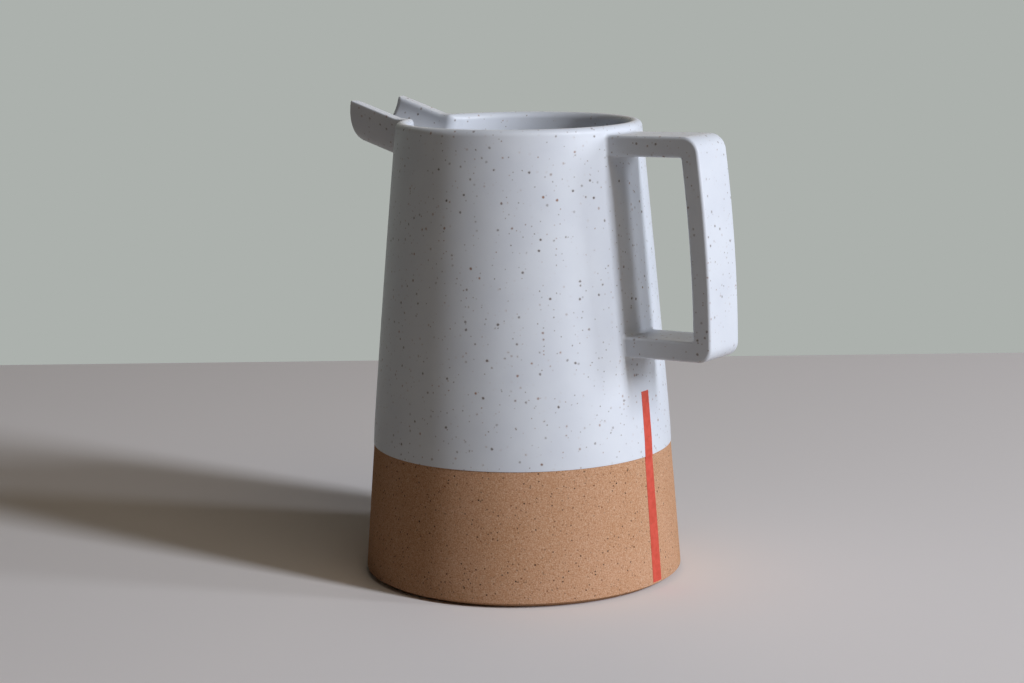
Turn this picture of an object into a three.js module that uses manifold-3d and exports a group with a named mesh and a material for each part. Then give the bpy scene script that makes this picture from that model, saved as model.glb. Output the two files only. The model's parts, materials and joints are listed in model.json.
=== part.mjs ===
// A stoneware carafe: a tapered jug with a half-pipe spout, a square strap handle and a painted stripe.
// Millimetres, +Z up, with the origin at the centre of the underside.
// The handle points along +X and the spout along -X.
import * as THREE from "three";
import { mergeVertices } from "three/addons/utils/BufferGeometryUtils.js";
import Module from "manifold-3d";

// Driving dimensions of the clay body
const rimHeight = 200.1; // crest of the bare clay rim
const baseRadius = 70.85; // outside of the wall, run down to the ground
const rimRadius = 53.3; // outside of the wall, run up to the rim height
const wallBulge = 0.6; // how far the wall swells beyond a straight cone at half height
const wallThickness = 4.7;
const floorThickness = 7;
const footBevel = 2.2; // height of the bevel that is cut under the edge of the foot
const footRing = 0.7; // width of the wall that stands on the ground inside that bevel
const cornerFillet = 6; // clay coil smoothed into the inside corner of wall and floor

// Driving dimensions of the finish
const glazeThickness = 0.4;
const glazeLine = 58.3; // height of the lower edge of the white glaze
const stripeWidth = 6;
const stripeDrop = 17; // from the foot of the handle down to the top of the stripe
const stripeThickness = 0.25;

// Driving dimensions of the spout
const spoutWidth = 38.5; // across the outside of the trough
const spoutWall = 6;
const spoutDepth = 20.3; // from the top edges to the outside of the bottom
const spoutTilt = 16.6; // degrees above level
const spoutRise = 0.6; // top edges of the trough above the clay rim, where they meet the wall
const spoutLength = 26.3; // along the top edges, from the wall at the rim to the tip
const spoutEndLean = 5.3; // degrees that the tip is cut back towards the bottom

// Driving dimensions of the handle
const strapWidth = 24;
const armThickness = 8.8;
const gripThickness = 8.8;
const handleDrop = 2.3; // from the clay rim down to the top of the upper arm, at its outer corner
const fingerHeight = 76.6; // clear height between the arms
const armTilt = 1.2; // degrees that both arms rise away from the wall
const topReach = 43.1; // from the wall to the outer face of the grip, at its top
const bottomReach = 41.5; // from the wall to the outer face of the grip, at its bottom
const gripBow = 1.8; // how far the grip bows outwards between its ends
const gripCorner = 6.4; // rounding of the two outer corners

// Joints: every piece is scored, coated with slip and pressed on
const slipThickness = 0.6;
const jointClearance = 0.2; // between a piece and the slip beside it
const coatClearance = 0.1; // between the clay and the glaze or paint on it

// Facets
const roundSteps = 64; // round the body
const heightSteps = 4; // up the wall
const arcSteps = 5; // in a small rounding

const jointGap = slipThickness + 2 * jointClearance;
const coatDepth = coatClearance + glazeThickness;
const lipRadius = wallThickness / 2;
const lipHeight = rimHeight - lipRadius;
const far = 4 * (rimHeight + baseRadius); // longer than anything here, for cutting shapes

const wasm = await Module();
wasm.setup();

// Outside radius of the clay wall at a height.
function clayRadius(z) {
  const t = z / rimHeight;
  return baseRadius + (rimRadius - baseRadius) * t + 4 * wallBulge * t * (1 - t);
}

// Inside radius of the clay wall at a height.
function boreRadius(z) {
  return clayRadius(z) - wallThickness;
}

function point(x, y) {
  return new THREE.Vector2(x, y);
}

// Heights from one level to another, in even steps.
function levels(from, to, steps = heightSteps) {
  return Array.from({ length: steps + 1 }, (_, i) => from + ((to - from) * i) / steps);
}

// Points of an arc, with its angles in degrees.
function arc(centre, radius, from, to, steps = arcSteps) {
  return levels(from, to, steps).map((degrees) => {
    const angle = THREE.MathUtils.degToRad(degrees);
    return point(centre.x + radius * Math.cos(angle), centre.y + radius * Math.sin(angle));
  });
}

// A three.js geometry as a solid that can be joined and cut.
function solid(geometry) {
  const bare = geometry.clone();
  bare.deleteAttribute("normal");
  bare.deleteAttribute("uv");
  const merged = mergeVertices(bare, 1e-3);
  const corners = merged.index.array;
  const triangles = [];
  for (let i = 0; i < corners.length; i += 3) {
    const [a, b, c] = [corners[i], corners[i + 1], corners[i + 2]];
    if (a !== b && b !== c && c !== a) triangles.push(a, b, c);
  }
  const vertProperties = new Float32Array(merged.attributes.position.array);
  const triVerts = new Uint32Array(triangles);
  return new wasm.Manifold(new wasm.Mesh({ numProp: 3, vertProperties, triVerts }));
}

// A closed outline of radius and height, anticlockwise, turned round the Z axis.
function revolve(outline) {
  return solid(new THREE.LatheGeometry(outline, roundSteps).rotateX(Math.PI / 2));
}

// An outline in X and Z, drawn out across the middle plane to a width along Y.
function slab(shape, width) {
  const settings = { depth: width, bevelEnabled: false, curveSegments: arcSteps };
  const geometry = new THREE.ExtrudeGeometry(shape, settings);
  return solid(geometry.rotateX(Math.PI / 2).translate(0, width / 2, 0));
}

// The profile of the clay wall, from its inside edge on the ground, up the outside and over the lip.
function wallOutline() {
  const lip = point(clayRadius(lipHeight) - lipRadius, lipHeight);
  const outside = levels(footBevel, lipHeight).map((z) => point(clayRadius(z), z));
  const inside = levels(lipHeight, 0).map((z) => point(boreRadius(z), z));
  return [
    inside.at(-1),
    point(inside.at(-1).x + footRing, 0),
    ...outside,
    ...arc(lip, lipRadius, 0, 180).slice(1, -1),
    ...inside,
  ];
}

// Centre of the hollow rounding in the inside corner of wall and floor.
function coilCentre() {
  const height = floorThickness + cornerFillet;
  return point(boreRadius(height) - cornerFillet, height);
}

// The path of the glaze at a distance off the clay: over the floor, up the bore, over the lip, down outside.
function glazePath(off) {
  const corner = coilCentre();
  const lip = point(clayRadius(lipHeight) - lipRadius, lipHeight);
  return [
    point(0, floorThickness + off),
    ...arc(corner, cornerFillet - off, -90, 0),
    ...levels(corner.y, lipHeight).slice(1, -1).map((z) => point(boreRadius(z) - off, z)),
    ...arc(lip, lipRadius + off, 180, 0),
    ...levels(lipHeight, glazeLine).slice(1).map((z) => point(clayRadius(z) + off, z)),
  ];
}

// A filled shape of the jug, its radius given by height, carried on upwards past the rim.
function filled(radiusAt) {
  const side = levels(0, rimHeight).map((z) => point(radiusAt(z), z));
  return revolve([point(0, 0), ...side, point(side.at(-1).x, far), point(0, far)]);
}

// Everything inside the outside of the clay wall, grown by a distance.
function bodyEnvelope(grow) {
  return filled((z) => clayRadius(z) + grow);
}

// The room inside the glazed bore.
function boreRoom() {
  return filled((z) => boreRadius(z) - coatDepth);
}

// The round floor that closes the wall from inside.
const slabRadius = boreRadius(floorThickness) - jointGap;

function makeFloor() {
  return revolve([
    point(0, 0),
    point(slabRadius, 0),
    point(slabRadius, floorThickness),
    point(0, floorThickness),
  ]);
}

// The clay coil in the seam of wall and floor, smoothed to a hollow rounding on top.
function makeCoil() {
  const corner = coilCentre();
  const edge = THREE.MathUtils.radToDeg(Math.asin(1 - (2 * jointClearance) / cornerFillet));
  const hollow = arc(corner, cornerFillet, edge - 90, -edge);
  return revolve([
    point(slabRadius + jointClearance, jointClearance),
    ...levels(jointClearance, hollow[0].y, 2).map((z) => point(boreRadius(z) - jointClearance, z)),
    ...hollow,
    point(hollow.at(-1).x, floorThickness + jointClearance),
    point(slabRadius + jointClearance, floorThickness + jointClearance),
    point(slabRadius + jointClearance, jointClearance),
  ]);
}

// The trough's frame: X across, Y up from its floor, Z along it to the tip.
// Its origin is where the trough's top edges meet the wall.
const tilt = THREE.MathUtils.degToRad(spoutTilt);
const spoutFrame = new THREE.Matrix4()
  .makeBasis(
    new THREE.Vector3(0, -1, 0),
    new THREE.Vector3(Math.sin(tilt), 0, Math.cos(tilt)),
    new THREE.Vector3(-Math.cos(tilt), 0, Math.sin(tilt)),
  )
  .setPosition(-rimRadius, 0, rimHeight + spoutRise);

// A U outline with a round bottom: half its width, its depth and how far it goes on above the top edges.
function troughOutline(half, depth, above) {
  const shape = new THREE.Shape().moveTo(half, above).lineTo(-half, above).lineTo(-half, half - depth);
  shape.absarc(0, half - depth, half, Math.PI, 2 * Math.PI, false);
  return shape.lineTo(half, above);
}

// A U outline drawn out along the trough between two places.
function troughBar(half, depth, above, from, to) {
  const outline = troughOutline(half, depth, above);
  const settings = { depth: to - from, bevelEnabled: false, curveSegments: 4 * arcSteps };
  const geometry = new THREE.ExtrudeGeometry(outline, settings);
  return solid(geometry.translate(0, 0, from).applyMatrix4(spoutFrame));
}

// The outside of the trough, grown by a distance and carried on upwards, to notch the rim.
function troughNotch(grow) {
  return troughBar(spoutWidth / 2 + grow, spoutDepth + grow, far, -rimRadius, spoutLength);
}

// A block as large as anything here, with its lower face at zero along one axis.
function block(x, y, z) {
  return new THREE.BoxGeometry(far, far, far).translate((x * far) / 2, (y * far) / 2, (z * far) / 2);
}

// The trough, cut flush with the bore. Its side walls slope down from the tip and cross the rim level.
function makeSpout(room) {
  const outside = troughBar(spoutWidth / 2, spoutDepth, spoutDepth, -rimRadius, spoutLength);
  const channel = troughBar(spoutWidth / 2 - spoutWall, spoutDepth - spoutWall, far, -far, far);
  const aboveEdges = solid(block(0, 1, 0).applyMatrix4(spoutFrame));
  const aboveRim = solid(block(0, 0, 1).translate(0, 0, rimHeight + coatDepth));
  const lean = new THREE.Matrix4().makeRotationX(THREE.MathUtils.degToRad(spoutEndLean));
  const tipCut = block(0, 0, 1).applyMatrix4(lean).translate(0, 0, spoutLength);
  const trough = outside.subtract(channel).subtract(solid(tipCut.applyMatrix4(spoutFrame)));
  return trough.subtract(room).subtract(aboveEdges.intersect(aboveRim));
}

// The slip between the trough and the notch in the wall.
function makeSpoutSlip(wall) {
  const half = spoutWidth / 2 + jointClearance;
  const depth = spoutDepth + jointClearance;
  const outside = troughBar(half + slipThickness, depth + slipThickness, depth, -rimRadius, spoutLength);
  return outside.subtract(troughBar(half, depth, far, -rimRadius, spoutLength)).intersect(wall);
}

// Heights of the handle's top and foot and of the stripe below it.
const handleTop = rimHeight - handleDrop;
const handleFoot = handleTop - 2 * armThickness - fingerHeight;
const stripeTop = handleFoot - stripeDrop;

// Distances of the grip's outer corners from the axis, before they are rounded.
const gripTop = clayRadius(handleTop) + topReach;
const gripFoot = clayRadius(handleFoot) + bottomReach;

// Height of the upper arm's top face at a distance from the axis.
function armTop(x) {
  return handleTop - (gripTop - x) * Math.tan(THREE.MathUtils.degToRad(armTilt));
}

// Distance of the grip's outer face from the axis at a height.
function gripOutside(z) {
  const t = (handleTop - z) / (handleTop - handleFoot);
  return gripTop + (gripFoot - gripTop) * t + 4 * gripBow * t * (1 - t);
}

// Where the grip's face at an inset meets an arm's face at a drop below the top of the upper arm.
function gripCornerPoint(inset, drop) {
  const guess = gripOutside(handleTop - drop) - inset;
  const x = gripOutside(armTop(guess) - drop) - inset;
  return point(x, armTop(x) - drop);
}

// The whole handle, grown by a distance: a strap that leaves the wall, turns down square and comes back.
function handleStrap(grow) {
  const low = armThickness + fingerHeight;
  const outerTop = gripCornerPoint(-grow, -grow);
  const outerFoot = gripCornerPoint(-grow, low + armThickness + grow);
  const innerTop = gripCornerPoint(gripThickness + grow, armThickness + grow);
  const innerFoot = gripCornerPoint(gripThickness + grow, low - grow);
  const round = gripCorner + grow;
  const outsideHeights = levels(outerFoot.y + round, outerTop.y - round);
  const outsideFace = outsideHeights.map((z) => point(gripOutside(z) + grow, z));
  const insideHeights = levels(innerTop.y, innerFoot.y);
  const insideFace = insideHeights.map((z) => point(gripOutside(z) - gripThickness - grow, z));
  const shape = new THREE.Shape().moveTo(0, armTop(0) + grow);
  shape.lineTo(0, armTop(0) - armThickness - grow);
  insideFace.forEach((p) => shape.lineTo(p.x, p.y));
  shape.lineTo(0, armTop(0) - low + grow).lineTo(0, armTop(0) - low - armThickness - grow);
  shape.lineTo(outerFoot.x - round, armTop(outerFoot.x - round) - low - armThickness - grow);
  shape.quadraticCurveTo(outerFoot.x, outerFoot.y, outsideFace[0].x, outsideFace[0].y);
  outsideFace.slice(1).forEach((p) => shape.lineTo(p.x, p.y));
  shape.quadraticCurveTo(outerTop.x, outerTop.y, outerTop.x - round, armTop(outerTop.x - round) + grow);
  return slab(shape, strapWidth + 2 * grow);
}

// A sheet of a thickness along the mitre of two strap lengths, past the inner and the outer corner.
function mitreSheet(inner, outer, thickness) {
  const along = outer.clone().sub(inner).normalize();
  const across = point(-along.y, along.x).multiplyScalar(thickness / 2);
  const start = inner.clone().addScaledVector(along, -armThickness);
  const end = outer.clone().addScaledVector(along, armThickness);
  const corners = [start.clone().sub(across), end.clone().sub(across), end.add(across), start.add(across)];
  return slab(new THREE.Shape(corners), 2 * strapWidth);
}

// Separate bodies of a solid, the highest first.
function fromTheTop(whole) {
  const height = (body) => body.boundingBox().max[2] + body.boundingBox().min[2];
  return whole.decompose().sort((a, b) => height(b) - height(a));
}

// The three strap lengths, the slip in their two mitres and the slip at their two seats on the wall.
function makeHandle() {
  const low = armThickness + fingerHeight;
  const strap = handleStrap(0);
  const mitres = [
    [gripCornerPoint(gripThickness, armThickness), gripCornerPoint(0, 0)],
    [gripCornerPoint(gripThickness, low), gripCornerPoint(0, low + armThickness)],
  ];
  const joined = (sheets) => sheets.reduce((sum, sheet) => sum.add(sheet));
  const cuts = joined(mitres.map(([inner, outer]) => mitreSheet(inner, outer, jointGap)));
  const fills = joined(mitres.map(([inner, outer]) => mitreSheet(inner, outer, slipThickness)));
  const clear = strap.subtract(bodyEnvelope(jointGap));
  const slipped = strap.intersect(bodyEnvelope(jointClearance + slipThickness));
  const seats = slipped.subtract(bodyEnvelope(jointClearance));
  return {
    lengths: fromTheTop(clear.subtract(cuts)),
    mitreSlips: fromTheTop(strap.intersect(fills)),
    seatSlips: fromTheTop(seats),
  };
}

// One face of the painted stripe, off the surface by a distance: up the clay, over the glaze edge and on up.
function stripeFace(off) {
  const step = glazeLine - coatClearance - off;
  const onClay = levels(footBevel, step).map((z) => point(clayRadius(z) + coatClearance + off, z));
  const overGlaze = coatDepth + coatClearance + off;
  const onGlaze = levels(step, stripeTop).map((z) => point(clayRadius(z) + overGlaze, z));
  return [...onClay, ...onGlaze];
}

function makeStripe() {
  const face = stripeFace(stripeThickness);
  const ring = revolve([...face, ...stripeFace(0).reverse(), face[0]]);
  const band = new THREE.BoxGeometry(far, stripeWidth, far).translate(far / 2, 0, 0);
  return ring.intersect(solid(band));
}

// Colours and finishes
function finish(colour, roughness) {
  return new THREE.MeshStandardMaterial({ color: colour, roughness, metalness: 0 });
}

const looks = {
  clay: () => finish("#b5835a", 0.9),
  slip: () => finish("#a87a54", 0.95),
  glaze: () => finish("#d9dbdd", 0.45),
  paint: () => finish("#c8472f", 0.5),
};

// The carafe
const carafe = new THREE.Group();
carafe.name = "carafe";

// Adds a solid to the group as a named mesh with its own material.
function place(name, body, look) {
  const made = body.getMesh();
  const geometry = new THREE.BufferGeometry();
  geometry.setAttribute("position", new THREE.BufferAttribute(new Float32Array(made.vertProperties), 3));
  geometry.setIndex(new THREE.BufferAttribute(new Uint32Array(made.triVerts), 1));
  geometry.computeVertexNormals();
  const mesh = new THREE.Mesh(geometry, looks[look]());
  mesh.name = name;
  carafe.add(mesh);
}

const wallRing = revolve(wallOutline());
const glazeCoat = revolve([...glazePath(coatClearance), ...glazePath(coatDepth).reverse()]);
const armHoles = handleStrap(jointClearance).subtract(bodyEnvelope(0));
const handle = makeHandle();

place("floor_slab", makeFloor(), "clay");
place("floor_coil", makeCoil(), "clay");
place("body_wall", wallRing.subtract(troughNotch(jointGap)), "clay");
place("white_glaze", glazeCoat.subtract(troughNotch(jointClearance)).subtract(armHoles), "glaze");
place("spout_trough", makeSpout(boreRoom()), "glaze");
place("spout_slip", makeSpoutSlip(wallRing), "slip");
place("handle_upper_arm", handle.lengths[0], "glaze");
place("handle_grip", handle.lengths[1], "glaze");
place("handle_lower_arm", handle.lengths[2], "glaze");
place("upper_mitre_slip", handle.mitreSlips[0], "slip");
place("lower_mitre_slip", handle.mitreSlips[1], "slip");
place("upper_seat_slip", handle.seatSlips[0], "slip");
place("lower_seat_slip", handle.seatSlips[1], "slip");
place("red_stripe", makeStripe(), "paint");

export default carafe;
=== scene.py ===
# %% [markdown]
# A glazed stoneware carafe, dressed in Blender
#
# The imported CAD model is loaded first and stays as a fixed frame: every piece below is modelled in metres
# in that same frame, with the handle along +X and the spout along -X. A potter throws the body, pulls a
# strap for the handle, cuts a half pipe for the spout, joins them with slip, dips the pot in white glaze
# down to a line and paints one red stripe. The cells model these one by one, and end with the materials, the
# camera and the light.

# %% Load the frame
import functools
import json
import math

import bmesh
import bpy
from mathutils import Matrix, Vector

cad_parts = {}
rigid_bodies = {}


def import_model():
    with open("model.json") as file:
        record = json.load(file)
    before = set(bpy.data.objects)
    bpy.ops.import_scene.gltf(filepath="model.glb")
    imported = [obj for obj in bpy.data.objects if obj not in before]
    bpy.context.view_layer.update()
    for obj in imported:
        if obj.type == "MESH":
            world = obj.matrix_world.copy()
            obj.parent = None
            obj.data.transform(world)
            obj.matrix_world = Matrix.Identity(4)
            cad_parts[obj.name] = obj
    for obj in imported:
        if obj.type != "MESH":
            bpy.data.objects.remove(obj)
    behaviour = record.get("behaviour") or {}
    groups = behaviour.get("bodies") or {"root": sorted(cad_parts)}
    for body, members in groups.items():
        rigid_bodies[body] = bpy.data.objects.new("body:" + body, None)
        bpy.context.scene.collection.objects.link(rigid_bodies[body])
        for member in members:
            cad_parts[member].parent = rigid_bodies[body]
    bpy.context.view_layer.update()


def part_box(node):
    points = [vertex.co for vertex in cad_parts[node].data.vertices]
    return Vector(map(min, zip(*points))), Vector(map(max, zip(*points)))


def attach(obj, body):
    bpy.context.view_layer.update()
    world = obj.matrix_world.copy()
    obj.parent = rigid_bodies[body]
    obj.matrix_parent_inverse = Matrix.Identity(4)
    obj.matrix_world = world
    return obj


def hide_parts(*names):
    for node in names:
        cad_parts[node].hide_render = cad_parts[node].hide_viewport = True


for leftover in list(bpy.data.objects):
    bpy.data.objects.remove(leftover)
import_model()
scene = bpy.context.scene
scene.view_settings.view_transform = "Standard"
MM = 0.001

# %% [markdown]
# The body is a tapered jug. Its wall swells a little beyond a straight cone, so one formula gives the
# radius of the clay at each height, and all that touches the wall uses it: the glaze, the spout, the seats
# of the handle and the stripe.

# %% The wall as a formula
RIM_HEIGHT = 200.1 * MM
BASE_RADIUS = 70.85 * MM
RIM_RADIUS = 53.3 * MM
WALL_BULGE = 0.6 * MM
WALL_THICKNESS = 4.7 * MM
GLAZE_DEPTH = 0.5 * MM
LIP_RADIUS = WALL_THICKNESS / 2
LIP_HEIGHT = RIM_HEIGHT - LIP_RADIUS


def clay_radius(z):
    share = z / RIM_HEIGHT
    taper = (RIM_RADIUS - BASE_RADIUS) * share
    return BASE_RADIUS + taper + 4 * WALL_BULGE * share * (1 - share)


def bore_radius(z):
    return clay_radius(z) - WALL_THICKNESS


_, wall_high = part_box("body_wall")
print("foot radius in mm:", round(clay_radius(0) / MM, 2), "and on the CAD wall:", round(wall_high.x / MM, 2))

# %% [markdown]
# A few small helpers stand for the hand on the mouse. One starts edit mode on a piece with nothing
# selected, one selects by place, and one draws an outline: it adds a plane, merges it to a single vertex
# and extrudes that vertex from point to point, as one draws a profile by hand. Points nearer than the merge
# distance become one, and a face looks along an axis when its normal has nearly its full length there.

# %% Helpers for modelling
MERGE_DISTANCE = 0.005 * MM
SLACK = 0.01 * MM
FACING = 0.9
SMOOTH_ANGLE = 35


def only(piece):
    bpy.ops.object.select_all(action="DESELECT")
    piece.select_set(True)
    bpy.context.view_layer.objects.active = piece


def edit(piece):
    only(piece)
    bpy.ops.object.mode_set(mode="EDIT")
    bpy.ops.mesh.select_all(action="DESELECT")


def leave_edit():
    bpy.ops.object.mode_set(mode="OBJECT")


def middle(part):
    """The middle of an edge or a face."""
    return sum((corner.co for corner in part.verts), Vector()) / len(part.verts)


def pick(piece, kind, test):
    """Selects the vertices, edges or faces of the piece in edit mode that pass a test."""
    bpy.ops.mesh.select_mode(type=kind)
    bpy.ops.mesh.select_all(action="DESELECT")
    mesh = bmesh.from_edit_mesh(piece.data)
    parts = {"VERT": mesh.verts, "EDGE": mesh.edges, "FACE": mesh.faces}[kind]
    for part in parts:
        part.select_set(bool(test(part)))
    mesh.select_flush_mode()
    bmesh.update_edit_mesh(piece.data)
    return sum(part.select for part in parts)


def place_vertices(piece, move):
    """Gives each selected vertex of the piece in edit mode the place that a formula returns."""
    mesh = bmesh.from_edit_mesh(piece.data)
    for corner in mesh.verts:
        if corner.select:
            corner.co = move(corner.co.copy())
    bmesh.update_edit_mesh(piece.data)


def draw_outline(name, points):
    """A piece of vertices in a row, left in edit mode with all of it selected."""
    bpy.ops.object.select_all(action="DESELECT")
    bpy.ops.mesh.primitive_plane_add(size=MM, location=(0, 0, 0))
    piece = bpy.context.object
    piece.name = piece.data.name = name
    bpy.ops.object.mode_set(mode="EDIT")
    bpy.ops.mesh.select_mode(type="VERT")
    bpy.ops.mesh.merge(type="CENTER")
    bpy.ops.transform.translate(value=points[0])
    for start, end in zip(points, points[1:]):
        bpy.ops.mesh.extrude_vertices_move(TRANSFORM_OT_translate={"value": end - start})
    bpy.ops.mesh.select_all(action="SELECT")
    return piece


def smooth(piece, angle=SMOOTH_ANGLE):
    only(piece)
    bpy.ops.object.shade_smooth_by_angle(angle=math.radians(angle))


def apply_modifier(piece, kind, **settings):
    only(piece)
    modifier = piece.modifiers.new(kind.title(), kind)
    for setting, value in settings.items():
        setattr(modifier, setting, value)
    bpy.ops.object.modifier_apply(modifier=modifier.name)


def flatten_shading(piece):
    """Lets large faces keep their own direction, so that only the roundings beside them shade round."""
    apply_modifier(piece, "WEIGHTED_NORMAL", mode="FACE_AREA", weight=100, keep_sharp=True)


def hand_over(piece, slot, *nodes):
    """The piece rides on the pot, takes a slot of the record and stands for CAD nodes."""
    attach(piece, "root")
    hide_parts(*nodes)
    print(piece.name, "has", len(piece.data.polygons), "faces and stands for", ", ".join(nodes))


# %% [markdown]
# Thrown work is round, so wall and glaze are spun: a profile of radius and height is drawn once and
# turned about the axis. The profile has only the points it needs, with arcs where the clay is rounded.

# %% Arcs, runs of wall and the spin
ROUND_STEPS = 192


def profile_point(radius, height):
    return Vector((radius, 0, height))


def arc(centre, radius, start, end, steps=8):
    """Points of an arc in the profile, with its angles in degrees."""
    angles = [math.radians(start + (end - start) * i / steps) for i in range(steps + 1)]
    return [centre + radius * Vector((math.cos(a), 0, math.sin(a))) for a in angles]


def run(radius_at, start, end, steps=24):
    """Points along a wall from one height to another."""
    heights = [start + (end - start) * i / steps for i in range(steps + 1)]
    return [profile_point(radius_at(height), height) for height in heights]


def spin(name, points):
    """A closed profile turned once round the axis of the pot."""
    piece = draw_outline(name, points + points[:1])
    bpy.ops.mesh.remove_doubles(threshold=MERGE_DISTANCE)
    bpy.ops.mesh.spin(steps=ROUND_STEPS, angle=math.tau, center=(0, 0, 0), axis=(0, 0, 1))
    bpy.ops.mesh.select_all(action="SELECT")
    bpy.ops.mesh.remove_doubles(threshold=MERGE_DISTANCE)
    bpy.ops.mesh.normals_make_consistent(inside=False)
    leave_edit()
    return piece


# %% [markdown]
# The clay wall stands on a foot whose outer edge is cut away underneath with a turning tool, so that the pot
# seems to float over a dark line. The crisp edge above the cut is wiped round with a sponge. The lip is a
# half round.

# %% The clay wall
FOOT_BEVEL = 2.2 * MM
FOOT_RING = 0.7 * MM
FOOT_EDGE = 0.4 * MM
foot_ring = profile_point(bore_radius(0) + FOOT_RING, 0)
foot_corner = profile_point(clay_radius(FOOT_BEVEL), FOOT_BEVEL)
bevel_slope = math.atan2(foot_corner.z, foot_corner.x - foot_ring.x)
edge_rise = FOOT_EDGE * (1 - math.sin(bevel_slope)) / math.cos(bevel_slope)
foot_centre = foot_corner + Vector((-FOOT_EDGE, 0, edge_rise))
lip_centre = profile_point(clay_radius(LIP_HEIGHT) - LIP_RADIUS, LIP_HEIGHT)
wall_profile = [
    profile_point(bore_radius(0), 0),
    foot_ring,
    *arc(foot_centre, FOOT_EDGE, math.degrees(bevel_slope) - 90, 0, steps=6),
    *run(clay_radius, foot_centre.z, LIP_HEIGHT)[1:-1],
    *arc(lip_centre, LIP_RADIUS, 0, 180, steps=12),
    *run(bore_radius, LIP_HEIGHT, 0, steps=12)[1:-1],
]
clay_wall = spin("clay_wall", wall_profile)
print("clay wall:", len(clay_wall.data.vertices), "vertices")

# %% [markdown]
# The floor is a flat slab of clay pressed in from inside. The coil that is smoothed into its corner shows
# only in the rounding of the glaze above it. The underside is set back by half a millimetre, so the pot
# stands on its rim of clay and doesn't rock. A cylinder is added at its size, and its lower face is inset
# twice and pushed in, which leaves a step with a sloping side.

# %% The clay floor
FLOOR_THICKNESS = 7 * MM
FLOOR_RIM = 5 * MM
FLOOR_RECESS = 0.5 * MM
FLOOR_SLOPE = 1 * MM
bpy.ops.object.select_all(action="DESELECT")
bpy.ops.mesh.primitive_cylinder_add(
    vertices=ROUND_STEPS,
    radius=bore_radius(FLOOR_THICKNESS),
    depth=FLOOR_THICKNESS,
    end_fill_type="NGON",
    location=(0, 0, FLOOR_THICKNESS / 2),
)
clay_floor = bpy.context.object
clay_floor.name = clay_floor.data.name = "clay_floor"
bpy.ops.object.transform_apply(location=True, rotation=True, scale=True)
edit(clay_floor)
pick(clay_floor, "FACE", lambda face: face.normal.z < -FACING)
bpy.ops.mesh.inset(thickness=FLOOR_RIM)
bpy.ops.mesh.inset(thickness=FLOOR_SLOPE)
bpy.ops.transform.translate(value=(0, 0, FLOOR_RECESS))
leave_edit()
smooth(clay_floor)

# %% [markdown]
# The glaze is a coat of about four tenths of a millimetre that thins towards the wax line, where it starts
# with a rounded edge. It goes up the outside, over the lip, down the bore and over the floor. A separate
# skin shows that edge as real geometry, where a colour change in one material would be flat.

# %% The white glaze
GLAZE_LINE = 58.3 * MM
GLAZE_GAP = 0.1 * MM
THIN_EDGE = 0.25 * MM
THIN_RUN = 8 * MM
CORNER_ROUND = 6 * MM
corner_height = FLOOR_THICKNESS + CORNER_ROUND
corner_centre = profile_point(bore_radius(corner_height) - CORNER_ROUND, corner_height)


def coat_depth(z):
    """The depth of the coat outside at a height, thin at its lower edge."""
    share = min(max((z - GLAZE_LINE) / THIN_RUN, 0), 1)
    return THIN_EDGE + (GLAZE_DEPTH - THIN_EDGE) * share


def glaze_face(off):
    """One face of the glaze, off the clay by a distance, from its lower edge outside to the axis inside."""
    outside = lambda z: clay_radius(z) + min(off, coat_depth(z))
    inside = lambda z: bore_radius(z) - off
    return [
        *run(outside, GLAZE_LINE + GLAZE_DEPTH, LIP_HEIGHT, steps=20),
        *arc(lip_centre, LIP_RADIUS + off, 0, 180, steps=16)[1:-1],
        *run(inside, LIP_HEIGHT, corner_height, steps=20),
        *arc(corner_centre, CORNER_ROUND - off, 0, -90)[1:],
        profile_point(0, FLOOR_THICKNESS + off),
    ]


edge_round = (THIN_EDGE - GLAZE_GAP) / 2
edge_height = GLAZE_LINE + edge_round
edge_centre = profile_point(clay_radius(edge_height) + GLAZE_GAP + edge_round, edge_height)
glaze_edge = arc(edge_centre, edge_round, 180, 360, steps=6)
glaze_profile = [*glaze_edge, *glaze_face(GLAZE_DEPTH), *reversed(glaze_face(GLAZE_GAP))]
white_glaze = spin("white_glaze_coat", glaze_profile)
print("glaze:", len(white_glaze.data.vertices), "vertices")

# %% [markdown]
# The spout is a half pipe with a soft inner edge and a crisp outer one. Its section is drawn as an outline
# of arcs, filled and drawn out. It stands in a frame of its own that is tilted up from the rim: X runs
# across the spout, Y along it and Z up, with the top edges at zero.

# %% The section of the spout
SPOUT_WIDTH = 38.5 * MM
SPOUT_WALL = 6 * MM
SPOUT_DEPTH = 20.3 * MM
SPOUT_TILT = math.radians(16.6)
SPOUT_RISE = 0.6 * MM
CHANNEL_EDGE = 1.6 * MM
OUTER_EDGE = 0.5 * MM
SECTION_STEPS = 48
spout_half = SPOUT_WIDTH / 2
channel_half = spout_half - SPOUT_WALL
section_centre = profile_point(0, spout_half - SPOUT_DEPTH)
spout_along = Vector((-math.cos(SPOUT_TILT), 0, math.sin(SPOUT_TILT)))
spout_up = Vector((math.sin(SPOUT_TILT), 0, math.cos(SPOUT_TILT)))
spout_across = Vector((0, 1, 0))
spout_level = Vector((-1, 0, 0))
spout_origin = Vector((-RIM_RADIUS, 0, RIM_HEIGHT + SPOUT_RISE))
spout_axes = Matrix((spout_across, spout_along, spout_up)).transposed()
spout_frame = Matrix.Translation(spout_origin) @ spout_axes.to_4x4()
to_spout = spout_frame.inverted()


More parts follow.
